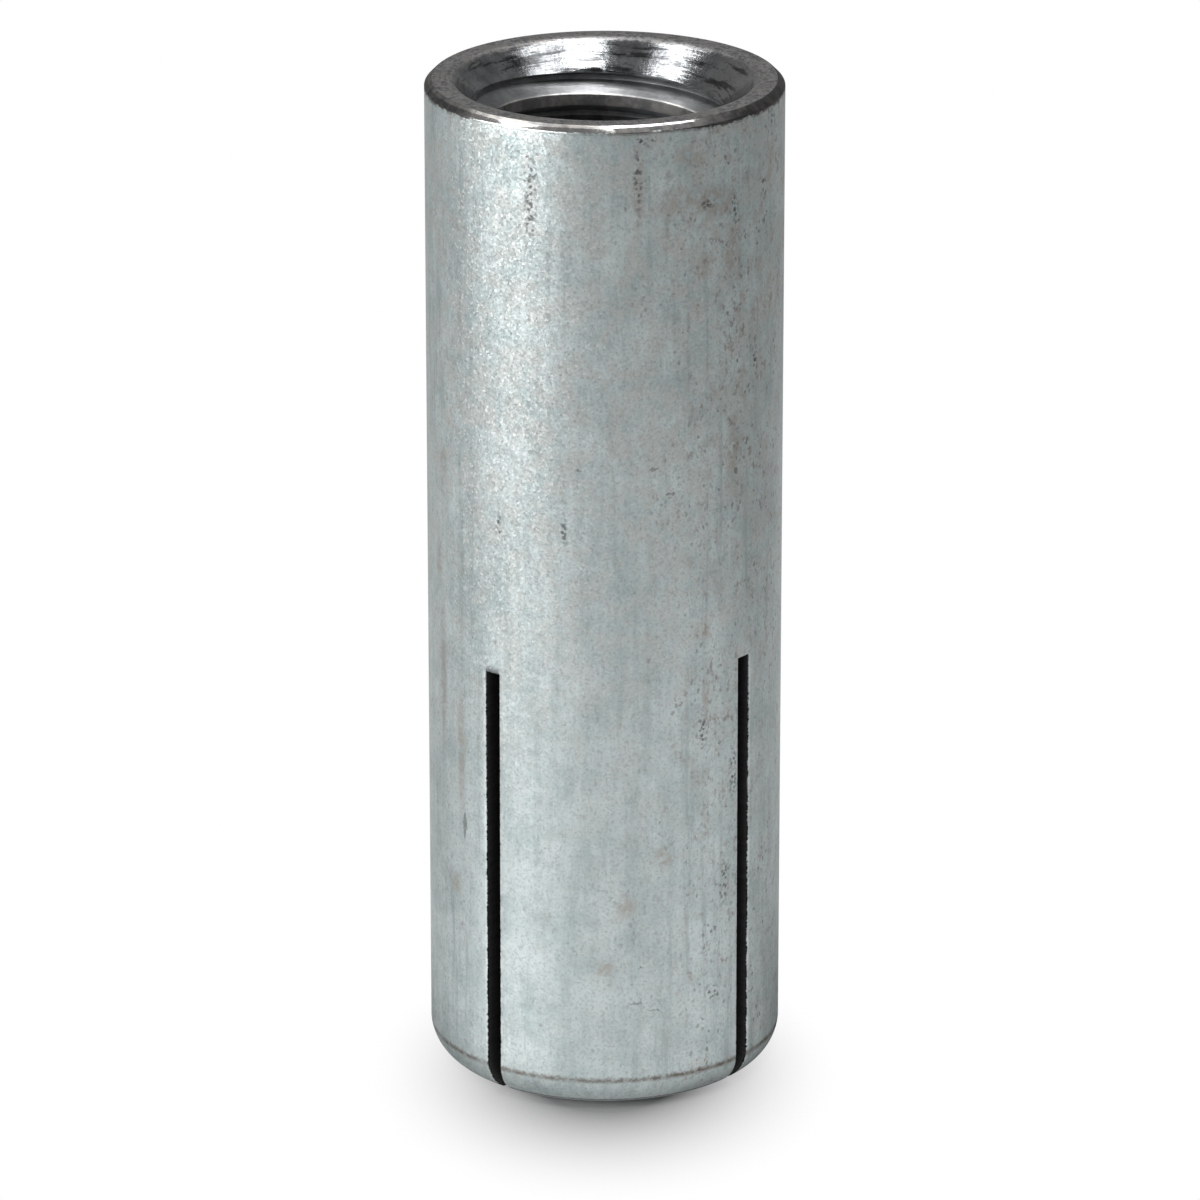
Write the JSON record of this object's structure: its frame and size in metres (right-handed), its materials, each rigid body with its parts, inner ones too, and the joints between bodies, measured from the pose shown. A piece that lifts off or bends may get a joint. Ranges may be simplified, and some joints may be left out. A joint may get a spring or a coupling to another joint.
{
  "type": "drop-in anchor",
  "caption": "Zinc-plated drop-in expansion anchor: slotted steel shell with a countersunk tapped mouth and a tapered expander plug inside, for setting in a drilled hole in concrete.",
  "frame": {"origin": "centre of the slotted end face, which the anchor stands on", "axes": "+Z along the anchor's axis from the slotted end to the mouth; X and Y run through the saw cuts"},
  "size_m": [0.022, 0.022, 0.0635],
  "materials": {
    "zinc_plate": "bright zinc plate over turned steel, satin, lightly scuffed, edges worn darker",
    "plain_steel": "bare cold-headed steel, dull"
  },
  "bodies": {
    "root": {"expansion_shell": "zinc_plate", "expander_plug": "plain_steel"}
  },
  "joints": []
}
